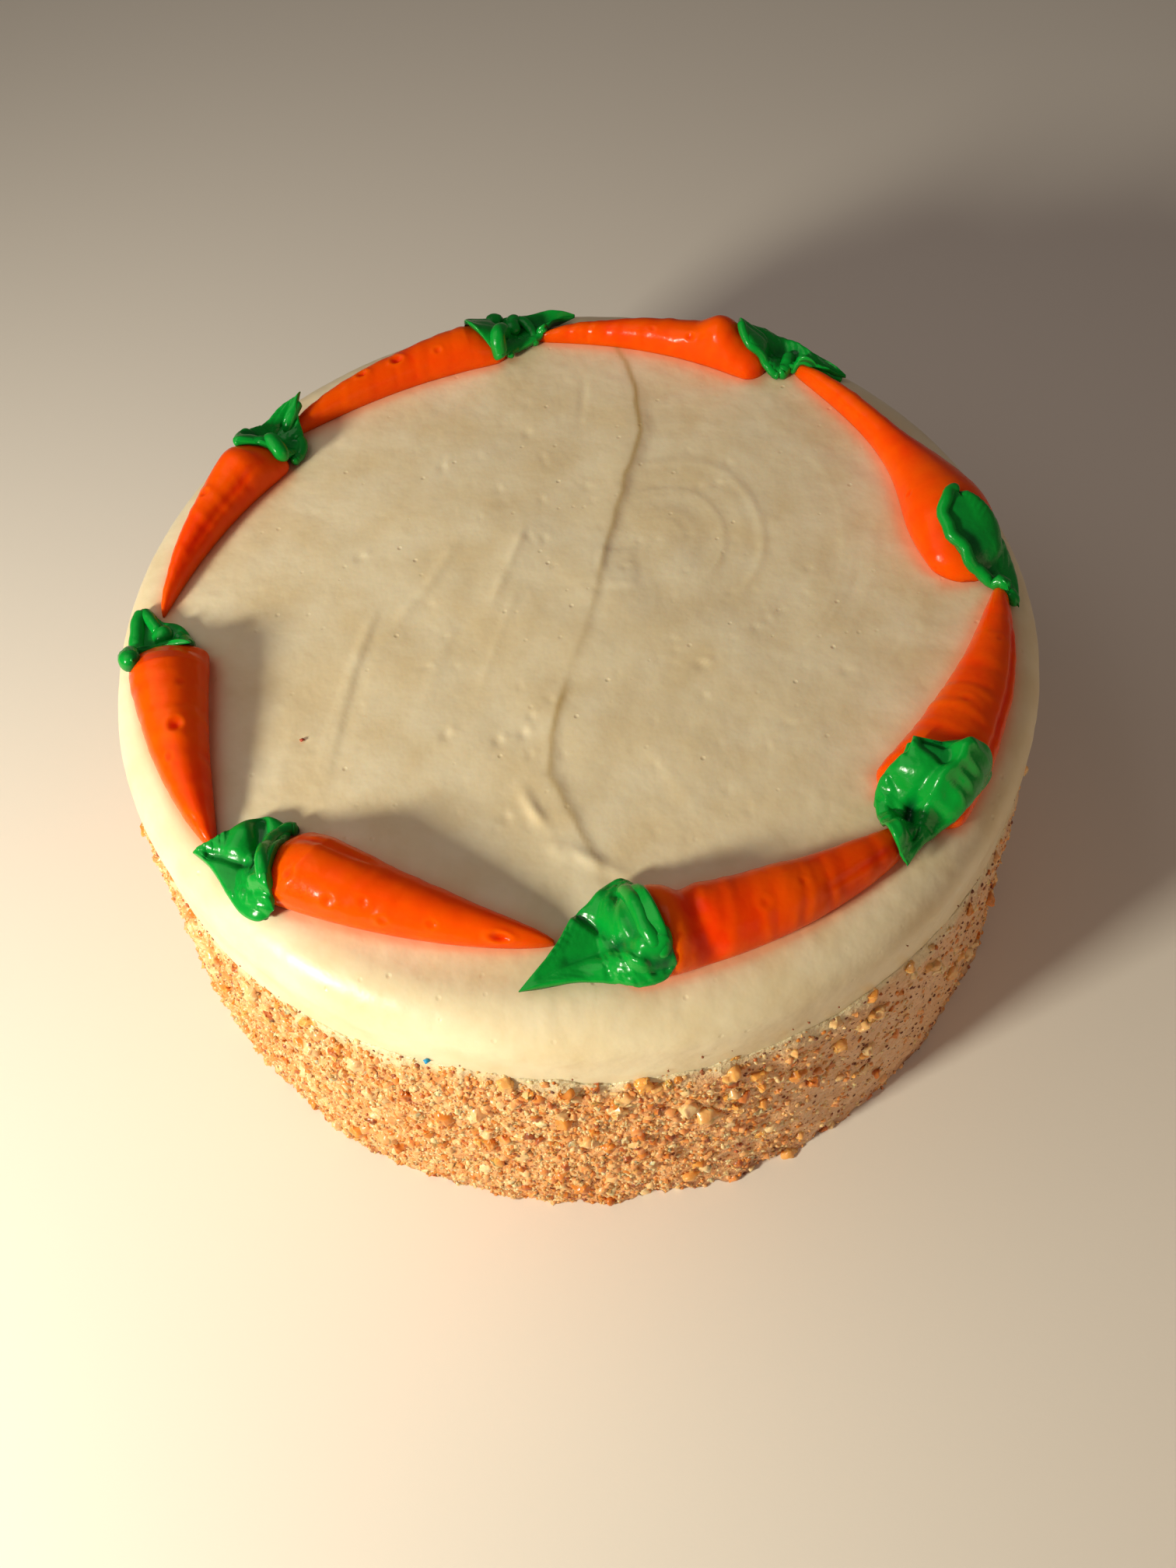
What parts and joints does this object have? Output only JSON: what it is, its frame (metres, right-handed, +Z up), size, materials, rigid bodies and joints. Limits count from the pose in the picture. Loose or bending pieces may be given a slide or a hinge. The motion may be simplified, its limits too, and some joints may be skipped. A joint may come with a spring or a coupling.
{
  "type": "carrot cake",
  "caption": "Whole round two-layer carrot cake in cream cheese icing, chopped walnut round the lower side, a ring of piped orange carrots with green leaves on top",
  "frame": {"origin": "centre of the flat underside of the cake, on the surface it rests on", "axes": "+Z up through the middle of the cake; -Y faces the viewer, with +X to the viewer's right"},
  "size_m": [0.2299, 0.2309, 0.1041],
  "materials": {
    "icing": "soft satin cream cheese icing",
    "walnut": "rough chopped walnut",
    "orange_buttercream": "glossy piped buttercream",
    "green_buttercream": "glossy piped buttercream"
  },
  "bodies": {
    "root": {"iced_cake": "icing", "nut_coat": "walnut", "carrot_1": "orange_buttercream", "carrot_2": "orange_buttercream", "carrot_3": "orange_buttercream", "carrot_4": "orange_buttercream", "carrot_5": "orange_buttercream", "carrot_6": "orange_buttercream", "carrot_7": "orange_buttercream", "carrot_8": "orange_buttercream", "leaf_1": "green_buttercream", "leaf_2": "green_buttercream", "leaf_3": "green_buttercream", "leaf_4": "green_buttercream", "leaf_5": "green_buttercream", "leaf_6": "green_buttercream", "leaf_7": "green_buttercream", "leaf_8": "green_buttercream"}
  },
  "joints": []
}
